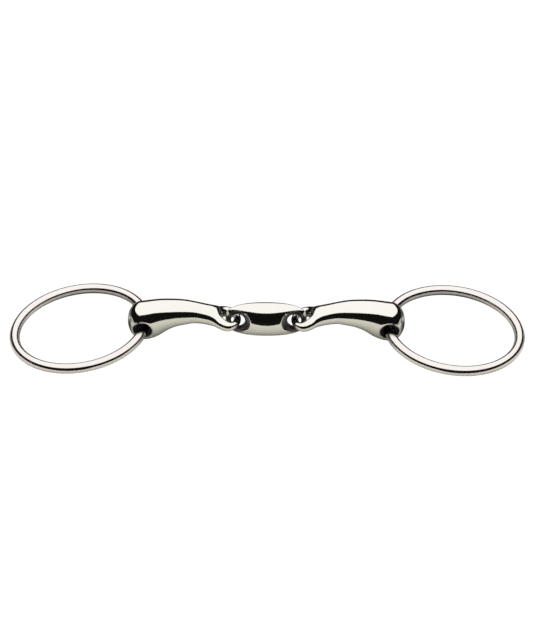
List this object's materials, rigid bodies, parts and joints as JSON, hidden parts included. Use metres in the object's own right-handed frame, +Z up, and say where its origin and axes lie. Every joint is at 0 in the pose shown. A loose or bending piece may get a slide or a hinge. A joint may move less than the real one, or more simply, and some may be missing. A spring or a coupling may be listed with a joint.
{
  "type": "loose-ring snaffle bit",
  "caption": "Stainless steel horse bit: a loose ring at each end of a double-jointed mouthpiece, whose two curved arms are linked by a flattened oval centre link.",
  "frame": {"origin": "middle of the bit's bounding box, on the table that it lies on", "axes": "+X from ring to ring, towards the right ring as seen from the front, +Y to the back along the axes of the bores, +Z up off the table"},
  "size_m": [0.2542, 0.07, 0.0218],
  "materials": {
    "left_ring": "mirror-polished stainless steel wire",
    "right_ring": "mirror-polished stainless steel wire",
    "left_cannon": "mirror-polished cast stainless steel",
    "right_cannon": "mirror-polished cast stainless steel",
    "centre_link": "mirror-polished cast stainless steel"
  },
  "bodies": {
    "centre_link": {"centre_link": "centre_link"},
    "left_cannon": {"left_cannon": "left_cannon"},
    "right_cannon": {"right_cannon": "right_cannon"},
    "left_ring": {"left_ring": "left_ring"},
    "right_ring": {"right_ring": "right_ring"}
  },
  "joints": [
    {"name": "left_fold", "type": "hinge", "parent": "centre_link", "child": "left_cannon", "pos_m": [-0.0141, 0, 0.0108], "axis": [0, 1, 0], "range_deg": [-45, 45]},
    {"name": "right_fold", "type": "hinge", "parent": "centre_link", "child": "right_cannon", "pos_m": [0.0141, 0, 0.0108], "axis": [0, -1, 0], "range_deg": [-45, 45]},
    {"name": "left_ring_swing", "type": "hinge", "parent": "left_cannon", "child": "left_ring", "pos_m": [-0.0605, 0, 0.009], "axis": [0, 1, 0], "range_deg": [-80, 80]},
    {"name": "right_ring_swing", "type": "hinge", "parent": "right_cannon", "child": "right_ring", "pos_m": [0.0605, 0, 0.009], "axis": [0, -1, 0], "range_deg": [-80, 80]}
  ]
}
